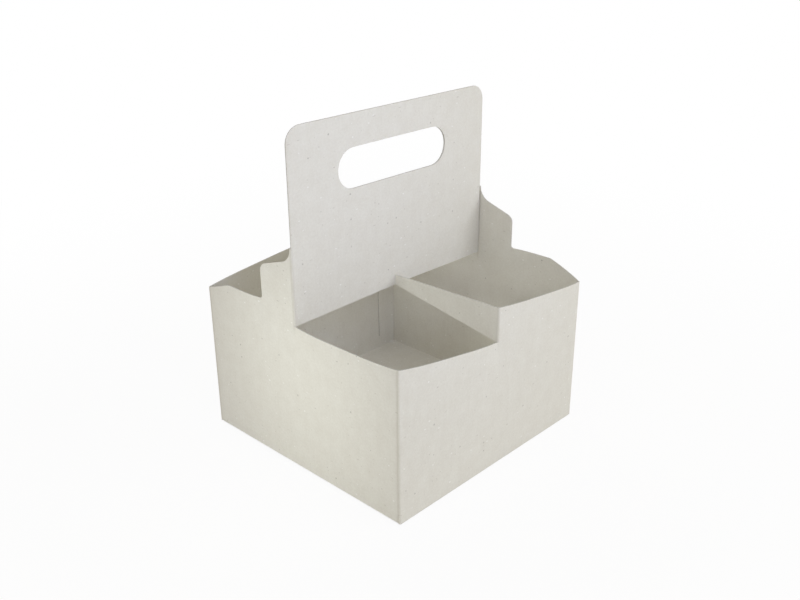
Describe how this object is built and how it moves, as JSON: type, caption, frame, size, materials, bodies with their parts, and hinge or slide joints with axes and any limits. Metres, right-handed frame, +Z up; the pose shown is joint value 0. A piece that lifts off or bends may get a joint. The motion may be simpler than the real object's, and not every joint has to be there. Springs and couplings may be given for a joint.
{
  "type": "cardboard cup carrier",
  "caption": "Open box folded from one sheet of recycled board, with a double upright handle and straps that part the cups.",
  "frame": {"origin": "middle of the base, on the surface that the carrier stands on", "axes": "+Z up, +X along the handle, +Y to the back; the low front wall half is on the left, at -X"},
  "size_m": [0.175, 0.175, 0.2225],
  "materials": {
    "board": "matt, uncoated, light warm grey with fine dark and light flecks"
  },
  "bodies": {
    "root": {"carrier": "board"}
  },
  "joints": []
}
